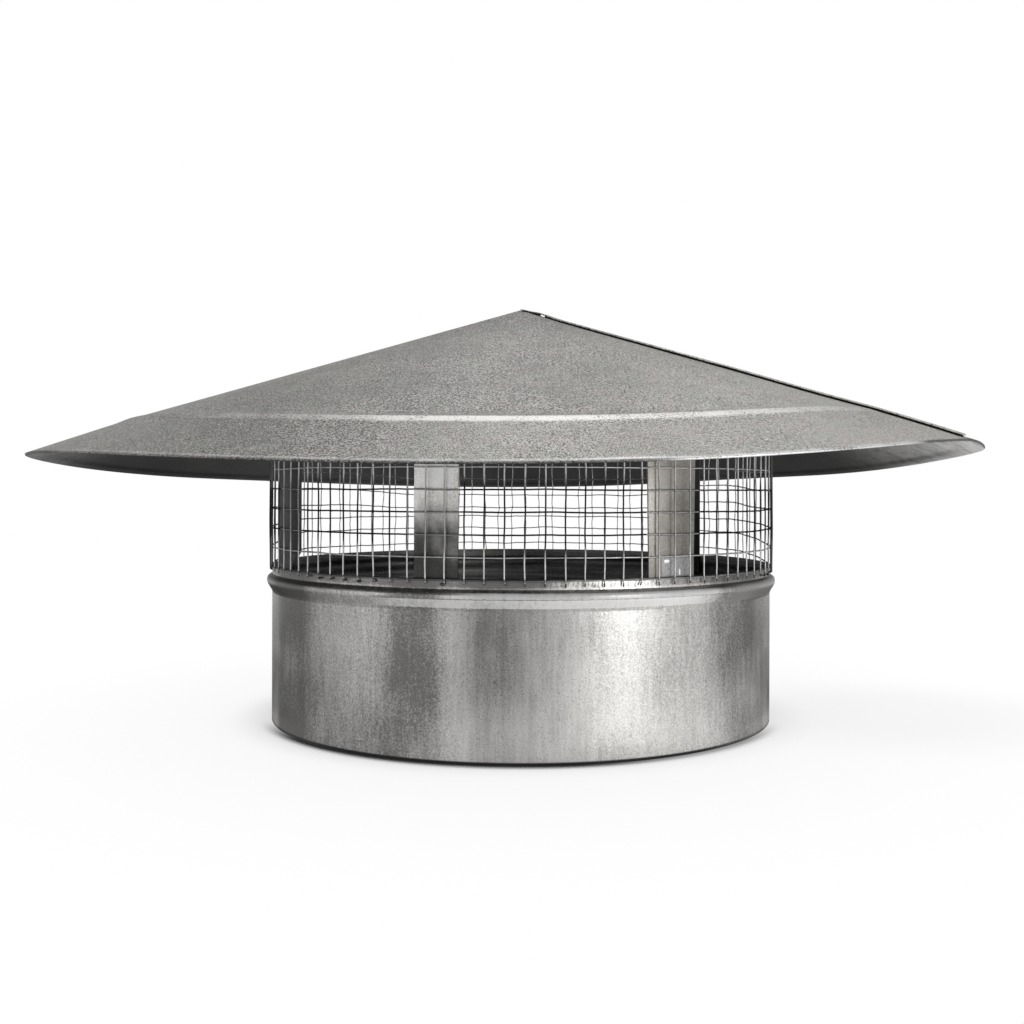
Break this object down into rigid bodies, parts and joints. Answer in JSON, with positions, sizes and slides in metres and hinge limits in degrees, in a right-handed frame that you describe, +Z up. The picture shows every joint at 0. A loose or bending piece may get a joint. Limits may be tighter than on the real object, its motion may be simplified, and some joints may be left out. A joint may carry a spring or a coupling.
{
  "type": "china hat vent cap",
  "caption": "Round duct cap: a beaded steel collar, flat straps, a wire bird screen and a wide shallow conical hat with a hemmed rim and one radial lock seam.",
  "frame": {"origin": "on the collar's axis, at its bottom edge", "axes": "+Z up along the collar's axis towards the hat's apex; -Y is the front that the picture shows, +X the side with the hat's seam"},
  "size_m": [0.8217, 0.8216, 0.3692],
  "materials": {
    "collar_sheet": "bare galvanised sheet, fine spangle, soft vertical streaks",
    "hat_sheet": "bare galvanised sheet, matt fine spangle",
    "strap_steel": "bare galvanised strip",
    "screen_wire": "galvanised drawn wire"
  },
  "bodies": {
    "root": {"collar": "collar_sheet", "hat": "hat_sheet", "strap_1": "strap_steel", "strap_2": "strap_steel", "strap_3": "strap_steel", "strap_4": "strap_steel", "strap_5": "strap_steel", "hoop_1": "screen_wire", "hoop_2": "screen_wire", "hoop_3": "screen_wire", "hoop_4": "screen_wire", "hoop_5": "screen_wire", "hoop_6": "screen_wire", "hoop_7": "screen_wire", "hoop_8": "screen_wire", "hoop_9": "screen_wire", "uprights_1": "screen_wire", "uprights_2": "screen_wire", "uprights_3": "screen_wire", "uprights_4": "screen_wire", "uprights_5": "screen_wire"}
  },
  "joints": []
}
